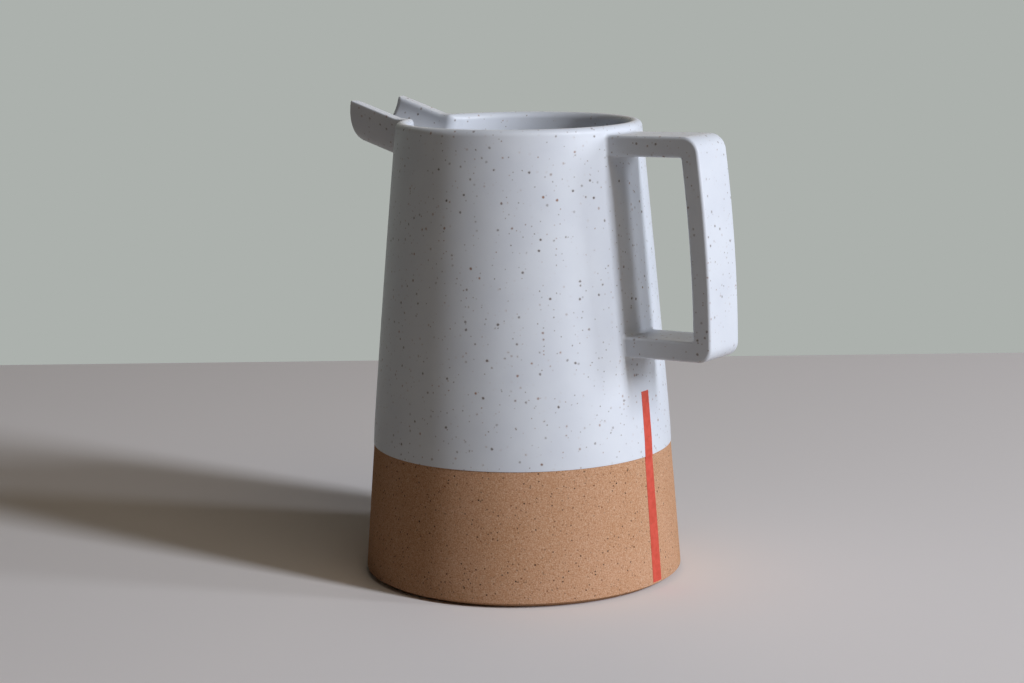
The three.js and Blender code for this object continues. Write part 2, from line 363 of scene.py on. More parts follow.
def half_pipe_outline():
    """The outline of the section, from the right edge over the outside and the left edge to the channel."""
    channel_corner = profile_point(channel_half + CHANNEL_EDGE, -CHANNEL_EDGE)
    outer_corner = profile_point(spout_half - OUTER_EDGE, -OUTER_EDGE)
    inner = arc(channel_corner, CHANNEL_EDGE, 180, 90, steps=5)
    right = [*inner, *arc(outer_corner, OUTER_EDGE, 90, 0, steps=3)]
    left = [profile_point(-point.x, point.z) for point in reversed(right)]
    outside = arc(section_centre, spout_half, 0, -180, SECTION_STEPS)
    channel = arc(section_centre, channel_half, -180, 0, SECTION_STEPS)[1:-1]
    return [*right, *outside, *left, *channel]


def draw_bar(name, outline, stations):
    """A bar of one section, filled and then extruded along Y from station to station."""
    piece = draw_outline(name, outline + outline[:1])
    bpy.ops.mesh.remove_doubles(threshold=MERGE_DISTANCE)
    bpy.ops.mesh.edge_face_add()
    bpy.ops.mesh.quads_convert_to_tris(ngon_method="BEAUTY")
    bpy.ops.transform.translate(value=(0, stations[0], 0))
    bpy.ops.mesh.select_mode(type="FACE")
    for here, there in zip(stations, stations[1:]):
        bpy.ops.mesh.extrude_region_move(TRANSFORM_OT_translate={"value": (0, there - here, 0)})
    bpy.ops.mesh.select_all(action="SELECT")
    bpy.ops.mesh.normals_make_consistent(inside=False)
    return piece


print("the spout's outline has", len(half_pipe_outline()), "points")

# %% [markdown]
# The half pipe is drawn out from the bore to the tip. Fingers and a sponge thin the pouring edge from
# inside and round the edge over the bore, so both ends are cut into a few close stations, and a formula
# draws the channel back round an arc there. The cuts are spaced evenly round that arc. The arc at the bore
# is that of the glazed lip, so that the two edges run on into each other.

# %% The spout drawn out
SPOUT_LENGTH = 26.3 * MM
SPOUT_ROOT = -8 * MM
PLAIN_START = -3 * MM
PLAIN_CUTS = 8
END_CUTS = 8
BORE_ROUND = LIP_RADIUS + GLAZE_DEPTH
TIP_ROUND = 4 * MM


def round_cuts(radius):
    """Distances from an end at which its rounding is cut."""
    angles = [math.radians(90 * i / END_CUTS) for i in range(END_CUTS + 1)]
    return [radius * (1 - math.cos(angle)) for angle in angles]


def tuck(distance, radius):
    """How far a rounded edge has drawn back at a distance from its end."""
    left = min(max(radius - distance, 0), radius)
    return radius - math.sqrt(radius**2 - left**2)


root_cuts = [SPOUT_ROOT + cut for cut in round_cuts(BORE_ROUND)]
tip_cuts = [SPOUT_LENGTH - cut for cut in reversed(round_cuts(TIP_ROUND))]
plain_step = (tip_cuts[0] - PLAIN_START) / PLAIN_CUTS
plain_cuts = [PLAIN_START + plain_step * i for i in range(PLAIN_CUTS)]
spout = draw_bar("spout_half_pipe", half_pipe_outline(), [*root_cuts, *plain_cuts, *tip_cuts])
print("spout:", len(plain_cuts), "plain stations,", len(root_cuts) + len(tip_cuts), "at its rounded ends")

# %% [markdown]
# Four formulas then give the straight bar its form. The first leaves its outer edge square inside the wall.
# The second rounds both ends and leans the tip back towards the bottom. The third slides the inner end along
# the pipe until it lies on the bore. The fourth lifts the top edges where they cross the rim, so that they
# run level with the lip, and the inner end is then set back on the bore.

# %% The form of the spout
SPOUT_END_LEAN = math.radians(5.3)
TIP_TOP_ROUND = 0.8 * MM
TOP_DEPTH = 4 * MM
RIM_LEVEL = RIM_HEIGHT + GLAZE_DEPTH
WALL_REACH = 60 * MM
HALVINGS = 50


def on_wall(start, along, radius_at, reach=WALL_REACH):
    """The place on a line, within reach of its start, where it meets a round wall, found by halving."""

    def outside_by(step):
        place = start + along * step
        return place.xy.length - radius_at(place.z)

    near, far = -reach, reach
    rising = outside_by(far) > outside_by(near)
    for _ in range(HALVINGS):
        half = (near + far) / 2
        if (outside_by(half) > 0) == rising:
            far = half
        else:
            near = half
    return start + along * near


def glazed_bore(z):
    return bore_radius(z) - GLAZE_DEPTH


def glazed_wall(z):
    return clay_radius(z) + GLAZE_DEPTH


def near_top(local):
    """From 0 in the depth of the pipe to 1 at its top edges."""
    return min(max(1 + local.z / TOP_DEPTH, 0), 1)


def round_ends(local):
    """Rounds both ends of the channel, and leans the tip, in the spout's own frame."""
    from_root, from_tip = local.y - SPOUT_ROOT, SPOUT_LENGTH - local.y
    side = Vector((local.x, 0, min(local.z - section_centre.z, 0)))
    above = max(local.z - section_centre.z, 0)
    share = (side.length - channel_half) / SPOUT_WALL
    channel = channel_half + tuck(from_root, BORE_ROUND) + tuck(from_tip, TIP_ROUND)
    outside = spout_half - tuck(from_tip, OUTER_EDGE)
    drop = tuck(from_root, BORE_ROUND) + tuck(from_tip, TIP_TOP_ROUND)
    lean = local.z * math.tan(SPOUT_END_LEAN) * max(local.y, 0) / SPOUT_LENGTH
    moved = side.normalized() * (channel + (outside - channel) * share) + section_centre
    return moved + Vector((0, local.y + lean, above - drop * near_top(local)))


def square_at_rim(local):
    """The crisp outer edge is left square where the wall of the pot lies against it."""
    in_wall = (spout_frame @ local).xy.length < glazed_wall(RIM_HEIGHT)
    at_side = abs(local.x) > spout_half - OUTER_EDGE - SLACK
    at_top = local.z > -OUTER_EDGE - SLACK
    return Vector((local.x, local.y, 0)) if in_wall and at_side and at_top else local


def spout_place(local):
    """The place on the pot of a vertex of the straight bar."""
    place = spout_frame @ round_ends(square_at_rim(local))
    from_bore = local.y - SPOUT_ROOT
    at_bore = from_bore < BORE_ROUND + SLACK
    end_radius = lambda z: glazed_bore(z) + from_bore
    if at_bore:
        place = on_wall(place, spout_along, end_radius)
    top = spout_origin + spout_along * (to_spout @ place).y
    place.z += max(RIM_LEVEL - top.z, 0) * near_top(local)
    return on_wall(place, spout_level, end_radius) if at_bore else place


place_vertices(spout, spout_place)
leave_edit()
smooth(spout)
flatten_shading(spout)
_, spout_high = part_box("spout_trough")
tip_height = max(corner.co.z for corner in spout.data.vertices)
print("spout tip in mm:", round(tip_height / MM, 1), "and on the CAD spout:", round(spout_high.z / MM, 1))

# %% [markdown]
# The rim is notched for the spout before it is set in. A bar with the same outside, carried on upwards, is
# the cutter, and a Boolean modifier takes it from the wall and from the glaze. It is a hair smaller than
# the spout, so that the joint shows no gap. Its arc has an odd number of steps, so that none of its edges
# falls on an edge of the wall, which would leave loose faces behind.

# %% The notch in the rim
NOTCH_LENGTH = 45 * MM
NOTCH_HEIGHT = 20 * MM
NOTCH_BITE = 0.05 * MM
notch_half = spout_half - NOTCH_BITE


def notch(piece):
    outline = [
        profile_point(notch_half, NOTCH_HEIGHT),
        *arc(section_centre, notch_half, 0, -180, SECTION_STEPS + 1),
        profile_point(-notch_half, NOTCH_HEIGHT),
    ]
    cutter = draw_bar("cutter", outline, [-NOTCH_LENGTH / 2, NOTCH_LENGTH / 2])
    leave_edit()
    cutter.data.transform(spout_frame)
    apply_modifier(piece, "BOOLEAN", object=cutter, operation="DIFFERENCE", solver="EXACT")
    bpy.data.objects.remove(cutter)


for piece in (clay_wall, white_glaze):
    notch(piece)
    smooth(piece)
    print(piece.name, "with its notch:", len(piece.data.polygons), "faces")

# %% [markdown]
# The handle is one strap of clay that leaves the wall, turns down square and comes back. It is modelled
# as a box that grows by extruding: the upper arm, its corner, the grip, the lower corner and the lower arm.

# %% The strap of the handle
STRAP_WIDTH = 24 * MM
ARM_THICKNESS = 8.8 * MM
GRIP_THICKNESS = 8.8 * MM
HANDLE_DROP = 2.3 * MM
FINGER_HEIGHT = 76.6 * MM
ARM_TILT = math.radians(1.2)
TOP_REACH = 43.1 * MM
BOTTOM_REACH = 41.5 * MM
GRIP_BOW = 1.8 * MM
ARM_ROOT = 3 * MM
handle_top = RIM_HEIGHT - HANDLE_DROP
handle_foot = handle_top - 2 * ARM_THICKNESS - FINGER_HEIGHT
grip_top = clay_radius(handle_top) + TOP_REACH
grip_foot = clay_radius(handle_foot) + BOTTOM_REACH
upper_root = clay_radius(handle_top) - ARM_ROOT
lower_root = clay_radius(handle_foot) - ARM_ROOT
arm_along = Vector((math.cos(ARM_TILT), 0, math.sin(ARM_TILT)))


def grip_outside(z):
    share = (handle_top - z) / (handle_top - handle_foot)
    return grip_top + (grip_foot - grip_top) * share + 4 * GRIP_BOW * share * (1 - share)


arm_end = grip_top - GRIP_THICKNESS
bpy.ops.object.select_all(action="DESELECT")
arm_middle = ((upper_root + arm_end) / 2, 0, handle_top - ARM_THICKNESS / 2)
bpy.ops.mesh.primitive_cube_add(size=1, location=arm_middle)
handle = bpy.context.object
handle.name = handle.data.name = "strap_handle"
bpy.ops.transform.resize(value=(arm_end - upper_root, STRAP_WIDTH, ARM_THICKNESS))
bpy.ops.object.transform_apply(location=True, rotation=True, scale=True)


def extrude_face(test, step):
    """Extrudes the one face of the strap that passes a test by a step."""
    count = pick(handle, "FACE", test)
    assert count == 1, f"{count} faces to extrude"
    bpy.ops.mesh.extrude_region_move(TRANSFORM_OT_translate={"value": step})


edit(handle)
extrude_face(lambda face: face.normal.x > FACING, (GRIP_THICKNESS, 0, 0))
under_corner = lambda face: face.normal.z < -FACING and middle(face).x > arm_end
extrude_face(under_corner, (0, 0, -FINGER_HEIGHT))
extrude_face(under_corner, (0, 0, -ARM_THICKNESS))
low_inside = lambda face: face.normal.x < -FACING and middle(face).z < handle_foot + ARM_THICKNESS
extrude_face(low_inside, (lower_root - arm_end, 0, 0))
leave_edit()
print("strap:", len(handle.data.polygons), "faces, as a plain box")

# %% [markdown]
# The grip leans and bows a little, and both arms rise slightly from the wall. The grip is cut into short
# lengths with Subdivide, and each length is set to its place by the same formula that the CAD grip has.

# %% The lean and bow of the grip
GRIP_CUTS = 15


def is_long_upright(edge):
    first, second = (corner.co for corner in edge.verts)
    return abs(first.z - second.z) > FINGER_HEIGHT / 2


def grip_place(place):
    outside = place.x > arm_end + GRIP_THICKNESS / 2
    place.x = grip_outside(place.z) - (0 if outside else GRIP_THICKNESS)
    return place


def tilt_place(place):
    place.z -= (grip_top - place.x) * math.tan(ARM_TILT)
    return place


edit(handle)
pick(handle, "EDGE", is_long_upright)
bpy.ops.mesh.subdivide(number_cuts=GRIP_CUTS)
pick(handle, "VERT", lambda corner: corner.co.x > arm_end - MM)
place_vertices(handle, grip_place)
bpy.ops.mesh.select_all(action="SELECT")
place_vertices(handle, tilt_place)
leave_edit()

# %% [markdown]
# The outer corners are rounded over with a large radius, the inner ones stay nearly square, and the edges
# of the strap are softened all round. Each flat side is dissolved to a single face first, so that the
# bevels meet no stray edges on it. Then three bevels follow, the largest first, and both ends slide along
# their arm until they lie just inside the glazed wall.

# %% The roundings of the handle
GRIP_CORNER = 6.4 * MM
INNER_CORNER = 0.8 * MM
STRAP_EDGE = 1.4 * MM
END_SINK = 0.2 * MM
SHARP_TURN = 0.5


def is_corner(edge):
    first, second = (corner.co for corner in edge.verts)
    one, other = (face.normal for face in edge.link_faces)
    across = abs(first.y - second.y) > STRAP_WIDTH / 2
    return across and one.dot(other) < SHARP_TURN and first.x > arm_end - MM


def outer_corner(edge):
    height = middle(edge).z
    return is_corner(edge) and (height > handle_top - MM or height < handle_foot + MM)


def strap_edge(edge):
    """True on the long edges of the strap, and not where its ends lie inside the wall."""
    sides = [abs(face.normal.y) > FACING for face in edge.link_faces]
    ends = [corner.co.x < lower_root + 2 * ARM_ROOT for corner in edge.verts]
    return any(sides) and not all(sides) and not all(ends)


edit(handle)
pick(handle, "FACE", lambda face: abs(face.normal.y) > FACING)
bpy.ops.mesh.dissolve_faces()
rounded = [pick(handle, "EDGE", outer_corner)]
bpy.ops.mesh.bevel(offset=GRIP_CORNER, segments=10, affect="EDGES")
rounded.append(pick(handle, "EDGE", is_corner))
bpy.ops.mesh.bevel(offset=INNER_CORNER, segments=3, affect="EDGES")
rounded.append(pick(handle, "EDGE", strap_edge))
bpy.ops.mesh.bevel(offset=STRAP_EDGE, segments=4, affect="EDGES")
pick(handle, "VERT", lambda corner: corner.co.x < lower_root + MM)
place_vertices(handle, lambda place: on_wall(place, arm_along, lambda z: glazed_wall(z) - END_SINK))
leave_edit()
smooth(handle)
flatten_shading(handle)
print("edges rounded at outer corners, inner corners and sides:", rounded)

# %% [markdown]
# Slip squeezes out of every joint and is wiped to a small hollow rounding, which the glaze then fills
# out. These seams are thin strips that follow the line where two surfaces meet. No tool of edit mode makes
# a fillet between two separate pieces, so each strip is lofted: at every point of the line, a short curve
# leads from one surface to the other.

# %% Seams of slip
SEAM_REACH = 1.7 * MM
SEAM_SINK = 0.06 * MM
SEAM_BACK = 0.35 * MM
SEAM_STEPS = 6
SEAM_ANGLE = 60


def wall_normal(place):
    slope = (clay_radius(place.z + MM) - clay_radius(place.z - MM)) / (2 * MM)
    out = Vector((place.x, place.y, 0)).normalized()
    return (out - Vector((0, 0, slope))).normalized()


def seam_section(place, along, outward):
    """Points of the hollow curve from the joined piece to the wall, and one point behind it."""
    wall_out = wall_normal(place)
    over_wall = (outward - outward.dot(wall_out) * wall_out).normalized()
    on_piece = place + along * SEAM_REACH - outward * SEAM_SINK
    on_pot = place + over_wall * SEAM_REACH - wall_out * SEAM_SINK
    behind = place - (outward + wall_out) * SEAM_BACK
    curve = []
    for i in range(SEAM_STEPS + 1):
        share = i / SEAM_STEPS
        start = on_piece.lerp(place, share)
        end = place.lerp(on_pot, share)
        curve.append(start.lerp(end, share))
    return [*curve, behind]


def loft(name, sections, closed):
    """A closed strip through sections that have as many points each."""
    count = len(sections[0])
    corners = [point for section in sections for point in section]
    last = len(sections) if closed else len(sections) - 1
    faces = []
    for i in range(last):
        here, there = i * count, (i + 1) % len(sections) * count
        for j in range(count):
            k = (j + 1) % count
            faces.append((here + j, here + k, there + k, there + j))
    if not closed:
        faces.append(tuple(range(count)))
        faces.append(tuple(range(len(corners) - 1, len(corners) - count - 1, -1)))
    mesh = bpy.data.meshes.new(name)
    mesh.from_pydata(corners, [], faces)
    piece = bpy.data.objects.new(name, mesh)
    scene.collection.objects.link(piece)
    edit(piece)
    bpy.ops.mesh.select_all(action="SELECT")
    bpy.ops.mesh.normals_make_consistent(inside=False)
    leave_edit()
    smooth(piece, SEAM_ANGLE)
    return piece


# %% [markdown]
# The handle's two seams go right round the strap. Places along its rounded section slide along the arm until
# they lie on the glazed wall, and the strip is lofted through them as a ring. The steps are close round the
# edges of the strap, where the seam turns.

# %% The seams of the handle
CORNER_STEPS = 12
SIDE_STEPS = 8


def strap_section():
    """Places round the strap's section and the direction that faces outwards there, as (Y, Z) pairs."""
    half_width, half_height = STRAP_WIDTH / 2 - STRAP_EDGE, ARM_THICKNESS / 2 - STRAP_EDGE
    corners = [(1, 1), (-1, 1), (-1, -1), (1, -1)]
    around = []
    for quarter, (y, z) in enumerate(corners):
        centre = Vector((y * half_width, z * half_height))
        for i in range(CORNER_STEPS + 1):
            angle = math.radians(90 * (quarter + i / CORNER_STEPS))
            out = Vector((math.cos(angle), math.sin(angle)))
            around.append((centre + STRAP_EDGE * out, out))
        next_y, next_z = corners[(quarter + 1) % 4]
        next_centre = Vector((next_y * half_width, next_z * half_height))
        for i in range(1, SIDE_STEPS):
            around.append((centre.lerp(next_centre, i / SIDE_STEPS) + STRAP_EDGE * out, out))
    return around


def seat_seam(name, arm_top):
    """The seam round one arm, whose top face would be at a height where it reaches the grip's outside."""
    sections = []
    for (y, z), (out_y, out_z) in strap_section():
        start = Vector((grip_top, y, arm_top - ARM_THICKNESS / 2 + z))
        place = on_wall(start, arm_along, glazed_wall, grip_top)
        sections.append(seam_section(place, arm_along, Vector((0, out_y, out_z))))
    return loft(name, sections, closed=True)


upper_seam = seat_seam("upper_seat_seam", handle_top)
lower_seam = seat_seam("lower_seat_seam", handle_foot + ARM_THICKNESS)
print("seams:", len(upper_seam.data.polygons), "and", len(lower_seam.data.polygons), "faces")

# %% [markdown]
# The spout's seam follows the outside of the half pipe from one top edge to the other, where the pipe leaves
# the wall. It is open at the top, so its two ends are closed with a face each.

# %% The seam of the spout
spout_sections = []
for i in range(SECTION_STEPS + 1):
    angle = math.pi * (1 + i / SECTION_STEPS)
    local_out = Vector((math.cos(angle), 0, math.sin(angle)))
    start = spout_frame @ (section_centre + local_out * spout_half)
    place = on_wall(start, spout_along, glazed_wall)
    spout_sections.append(seam_section(place, spout_along, spout_axes @ local_out))
spout_seam = loft("spout_seam", spout_sections, closed=False)
print("spout seam:", len(spout_seam.data.polygons), "faces")

# %% [markdown]
# The stripe is one stroke of red underglaze, masked with tape, from below the handle over the edge of the
# glaze down to the foot. A grid is added at its size, bent onto the wall by its formula, and given its
# thickness with Solidify.

# %% The red stripe
STRIPE_DROP = 17 * MM
STRIPE_WIDTH = 6 * MM
STRIPE_THICKNESS = 0.15 * MM
STRIPE_SINK = 0.05 * MM
STRIPE_STEP = 1 * MM
STRIPE_FOOT = 2.9 * MM
STRIPE_TAPER = 0.1
STRIPE_ROWS = 200
STRIPE_COLUMNS = 12
stripe_top = handle_foot - STRIPE_DROP
stripe_height = stripe_top - STRIPE_FOOT


def stripe_radius(z):
    """The surface under the stripe, which climbs the edge of the glaze in a short ramp."""
    climb = (z - GLAZE_LINE) / STRIPE_STEP + 1
    return clay_radius(z) + coat_depth(z) * min(max(climb, 0), 1) - STRIPE_SINK


def stand_up(place):
    """Stands the flat grid upright and lets it taper: the tape ran a little wider towards the foot."""
    share = place.x / stripe_height
    return Vector((0, place.y * (1 + 2 * STRIPE_TAPER * share), stripe_top - stripe_height / 2 - place.x))


def stripe_place(place):
    radius = stripe_radius(place.z)
    return Vector((math.sqrt(radius**2 - place.y**2), place.y, place.z))


bpy.ops.object.select_all(action="DESELECT")
divisions = {"x_subdivisions": STRIPE_ROWS, "y_subdivisions": STRIPE_COLUMNS}
bpy.ops.mesh.primitive_grid_add(size=1, location=(0, 0, 0), **divisions)
stripe = bpy.context.object
stripe.name = stripe.data.name = "painted_stripe"
edit(stripe)
bpy.ops.mesh.select_all(action="SELECT")
bpy.ops.transform.resize(value=(stripe_height, STRIPE_WIDTH, 1))
place_vertices(stripe, stand_up)
place_vertices(stripe, stripe_place)
bpy.ops.mesh.normals_make_consistent(inside=False)
leave_edit()
outward = sum(face.normal.x for face in stripe.data.polygons)
apply_modifier(stripe, "SOLIDIFY", thickness=STRIPE_THICKNESS, offset=math.copysign(1, outward))
smooth(stripe)
print("stripe from", round(stripe_top / MM, 1), "mm down over", round(stripe_height / MM, 1), "mm")

# %% [markdown]
# Colours are written as sRGB hex values, as a colour picker shows them, and one function turns them to the
# linear values that a shader wants. One small function adds a node, sets it and links it, and three more
# stand for the nodes that come back most: a blend of colours, a stretched range and a noise. Patterns are
# sized in millimetres, and turned to the number of repeats in a metre that a texture's scale asks for.

# %% Helpers for materials


def colour(hex_value):
    channels = [int(hex_value[i : i + 2], 16) / 255 for i in (1, 3, 5)]
    linear = [c / 12.92 if c <= 0.04045 else ((c + 0.055) / 1.055) ** 2.4 for c in channels]
    return (*linear, 1)


def per_metre(size_mm):
    return 1 / (size_mm * MM)


def set_inputs(node, inputs):
    """Sets inputs of a node to values, or links them to an output or to a node's first output in use."""
    for key, value in inputs.items():
        named = [socket for socket in node.inputs if socket.enabled and socket.name == key]
        socket = named[0] if named else node.inputs[key]
        if isinstance(value, bpy.types.Node):
            value = next(output for output in value.outputs if output.enabled)
        if isinstance(value, bpy.types.NodeSocket):
            node.id_data.links.new(value, socket)
        else:
            socket.default_value = value


def add(tree, kind, inputs, **settings):
    """Adds a shader node with its settings and links."""
    node = tree.nodes.new("ShaderNode" + kind)
    for setting, value in settings.items():
        setattr(node, setting, value)
    set_inputs(node, inputs)
    return node


def blend(node, share, first, second):
    """A colour that goes from one to another as a share goes from 0 to 1."""
    return node("Mix", {"Factor": share, "A": first, "B": second}, data_type="RGBA")


def stretch(node, value, start, end):
    """A share that goes from 0 to 1 as a value goes from a start to an end, and stays there."""
    return node("MapRange", {"Value": value, "From Min": start, "From Max": end})


def cloudy(node, places, size_mm, detail):
    """A noise with features of a size in millimetres."""
    return node("TexNoise", {"Vector": places, "Scale": per_metre(size_mm), "Detail": detail})


def new_material(name):
    """A material, its shader, a function that adds nodes to it, and the places on the piece it is on."""
    material = bpy.data.materials.new(name)
    material.use_nodes = True
    node = functools.partial(add, material.node_tree)
    places = node("TexCoord", {}).outputs["Object"]
    return material, material.node_tree.nodes["Principled BSDF"], node, places


# %% [markdown]
# Specks are grains of iron in the clay that melt into the glaze. A Voronoi texture scatters one point in
# each cell of space, and a blob about the point shows where the surface cuts it, so the sizes vary by
# themselves. Each cell has its own random colour, which says how strong and how rusty its speck is. A
# little noise bends the blobs, because grains aren't round. A layer of specks is written as four numbers:
# spacing and radius in millimetres, a seed, and the share of iron in its darkest speck.

# %% Specks
SPECK_WOBBLE = 0.5 * MM
WOBBLE_SIZE = 0.9
FAINTEST_SPECK = 0.3
CORE_REACH = (1.0, 0.5)
HALO_REACH = (1.5, 0.6)
RUST_RANGE = (0.55, 0.85)
STAIN_SHARE = 0.3


def specks(node, places, spacing, radius, seed):
    """The dark core and the stained halo of specks, and a random number for each. Sizes are in mm."""
    wobble = cloudy(node, places, WOBBLE_SIZE, 1.0).outputs["Color"]
    bent = node("VectorMath", {0: wobble, 1: (SPECK_WOBBLE,) * 3, 2: places}, operation="MULTIPLY_ADD")
    moved = node("VectorMath", {0: bent, 1: (seed,) * 3}, operation="ADD")
    cells = node("TexVoronoi", {"Vector": moved, "Scale": per_metre(spacing)})
    chance = node("SeparateColor", {"Color": cells.outputs["Color"]})
    might = node("MapRange", {"Value": chance.outputs["Red"], "To Min": FAINTEST_SPECK})
    far = cells.outputs["Distance"]
    core_edge, core_full = (radius / spacing * reach for reach in CORE_REACH)
    halo_edge, halo_full = (radius / spacing * reach for reach in HALO_REACH)
    spread = {"Value": far, "From Min": core_edge, "From Max": core_full}
    blob = node("MapRange", spread, interpolation_type="SMOOTHSTEP")
    glow = stretch(node, far, halo_edge, halo_full)
    core = node("Math", {0: blob, 1: might}, operation="MULTIPLY")
    halo = node("Math", {0: glow, 1: might}, operation="MULTIPLY")
    return core, halo, chance.outputs["Green"]


# %% [markdown]
# Satin white glaze: a matt dolomite glaze over iron-bearing stoneware. It is a cool white with a soft,
# broad sheen, a faint mottle where the coat is thicker or thinner, and brown to black specks in two sizes,
# each with a rusty stain round it where the iron has bled.

# %% Satin white glaze
GLAZE_WHITE = "#dfe3e9"
GLAZE_THIN = "#dadee5"
IRON_DARK = "#33261f"
IRON_RUST = "#8a5433"
IRON_STAIN = "#a98a6c"
GLAZE_SPECKS = ((4.2, 0.66, 0.3, 0.85), (2.6, 0.39, 0.7, 0.6))
MOTTLE_SIZE = 18
PEEL_SIZE = 1.6
SWELL_SIZE = 14
GLAZE_RELIEF = 0.06
GLAZE_ROUGHNESS = (0.4, 0.5)


def speckled(node, places, body, layers):
    """A colour with layers of specks over it, each given by spacing, radius, seed and darkest share."""
    for spacing, radius, seed, most in layers:
        core, halo, tint = specks(node, places, spacing, radius, seed)
        iron = blend(node, stretch(node, tint, *RUST_RANGE), colour(IRON_DARK), colour(IRON_RUST))
        stain = node("Math", {0: halo, 1: STAIN_SHARE * most}, operation="MULTIPLY")
        body = blend(node, stain, body, colour(IRON_STAIN))
        dark = node("Math", {0: core, 1: most}, operation="MULTIPLY")
        body = blend(node, dark, body, iron)
    return body


def make_glaze():
    material, shader, node, places = new_material("satin_white_glaze")
    mottle = stretch(node, cloudy(node, places, MOTTLE_SIZE, 3.0), 0.35, 0.65)
    coat = blend(node, mottle, colour(GLAZE_THIN), colour(GLAZE_WHITE))
    coat = speckled(node, places, coat, GLAZE_SPECKS)
    peel = cloudy(node, places, PEEL_SIZE, 2.0)
    swell = cloudy(node, places, SWELL_SIZE, 1.0)
    fine = node("Bump", {"Height": peel, "Strength": GLAZE_RELIEF, "Distance": 0.2 * MM})
    skin = node("Bump", {"Height": swell, "Strength": GLAZE_RELIEF, "Distance": MM, "Normal": fine})
    smoothest, roughest = GLAZE_ROUGHNESS
    satin = {"Value": peel, "From Min": 0.3, "From Max": 0.7, "To Min": smoothest, "To Max": roughest}
    sheen = node("MapRange", satin)
    set_inputs(shader, {"Base Color": coat, "Normal": skin, "Roughness": sheen, "IOR": 1.5})
    return material


# %% [markdown]
# Bare stoneware: a sandy, toasted clay body left without glaze. It is quite matt and shows its grain: pale
# and dark sand of a few tenths of a millimetre, dark iron specks and a few open pits.

# %% Bare stoneware
CLAY_TAN = "#cb9d7c"
CLAY_WARM = "#c49571"
CLAY_PALE = "#dab597"
CLAY_BROWN = "#b07d58"
CLAY_SPECKS = ((2.2, 0.46, 0.9, 1.0), (1.4, 0.28, 0.5, 0.55))
PATCH_SIZE = 22
SAND_SIZE = 0.55
CLAY_ROUGHNESS = 0.9
CLAY_GLOSS = 0.05


def make_stoneware():
    material, shader, node, places = new_material("bare_stoneware")
    toast = stretch(node, cloudy(node, places, PATCH_SIZE, 2.0), 0.3, 0.7)
    body = blend(node, toast, colour(CLAY_WARM), colour(CLAY_TAN))
    sand = cloudy(node, places, SAND_SIZE, 2.0)
    body = blend(node, stretch(node, sand, 0.5, 0.75), body, colour(CLAY_PALE))
    body = blend(node, stretch(node, sand, 0.5, 0.25), body, colour(CLAY_BROWN))
    body = speckled(node, places, body, CLAY_SPECKS)
    pits, _, _ = specks(node, places, *CLAY_SPECKS[0][:3])
    height = node("Math", {0: sand, 1: pits}, operation="SUBTRACT")
    grain = node("Bump", {"Height": height, "Strength": 0.3, "Distance": 0.2 * MM})
    matt = {"Roughness": CLAY_ROUGHNESS, "Specular IOR Level": CLAY_GLOSS}
    set_inputs(shader, {"Base Color": body, "Normal": grain, **matt})
    return material


# %% [markdown]
# Red underglaze: a brushed coat of coloured slip, fired to a satin skin. It is thin, so a few specks and a
# little of the clay's grain show through.

# %% Red underglaze
PAINT_RED = "#d9523f"
PAINT_DEEP = "#c9452f"
PAINT_SPECKS = ((3.6, 0.5, 0.9, 0.5),)
BRUSH_SIZE = 2.5
PAINT_ROUGHNESS = 0.55


def make_paint():
    material, shader, node, places = new_material("red_underglaze")
    brush = cloudy(node, places, BRUSH_SIZE, 3.0)
    coat = blend(node, stretch(node, brush, 0.35, 0.65), colour(PAINT_DEEP), colour(PAINT_RED))
    coat = speckled(node, places, coat, PAINT_SPECKS)
    grain = node("Bump", {"Height": brush, "Strength": 0.15, "Distance": 0.1 * MM})
    set_inputs(shader, {"Base Color": coat, "Normal": grain, "Roughness": PAINT_ROUGHNESS})
    return material


# %% [markdown]
# Each piece gets its finish and is handed over to the frame: it rides on the one body, takes its slot from
# the record and stands for the CAD nodes that it covers.

# %% Hand over the pieces
glaze, stoneware, paint = make_glaze(), make_stoneware(), make_paint()


def dress(piece, material):
    piece.data.materials.clear()
    piece.data.materials.append(material)


for piece in (white_glaze, spout, handle, upper_seam, lower_seam, spout_seam):
    dress(piece, glaze)
for piece in (clay_wall, clay_floor):
    dress(piece, stoneware)
dress(stripe, paint)
hand_over(clay_wall, "bare_stoneware", "body_wall")
hand_over(clay_floor, "bare_stoneware", "floor_slab", "floor_coil")
hand_over(white_glaze, "white_glaze", "white_glaze")
hand_over(spout, "white_glaze", "spout_trough")
hand_over(spout_seam, "joining_slip", "spout_slip")
strap_nodes = ("handle_upper_arm", "handle_grip", "handle_lower_arm", "upper_mitre_slip", "lower_mitre_slip")
hand_over(handle, "white_glaze", *strap_nodes)
hand_over(upper_seam, "joining_slip", "upper_seat_slip")
hand_over(lower_seam, "joining_slip", "lower_seat_slip")
hand_over(stripe, "red_paint", "red_stripe")

# %% [markdown]
# The camera stands where the picture was taken from: its place, aim and focal length come from a fit of
# the pot's outlines, and are written as a distance, a height and three angles.

# %% Camera
PICTURE_WIDTH = 1024
FOCAL_PIXELS = 2250
SENSOR_WIDTH = 36
CAMERA_DISTANCE = 985.97 * MM
CAMERA_HEIGHT = 277.07 * MM
CAMERA_AZIMUTH = math.radians(34.84)
CAMERA_HEADING = math.radians(35.08)
CAMERA_PITCH = math.radians(10.05)
CAMERA_ROLL = math.radians(-0.744)
camera_data = bpy.data.cameras.new("camera")
camera = bpy.data.objects.new("camera", camera_data)
scene.collection.objects.link(camera)
scene.camera = camera
camera_data.sensor_fit = "HORIZONTAL"
camera_data.sensor_width = SENSOR_WIDTH
camera_data.lens = FOCAL_PIXELS / PICTURE_WIDTH * SENSOR_WIDTH
camera_data.clip_start = 10 * MM
camera.rotation_mode = "QUATERNION"
turn = Matrix.Rotation(CAMERA_HEADING, 3, "Z") @ Matrix.Rotation(math.pi / 2 - CAMERA_PITCH, 3, "X")
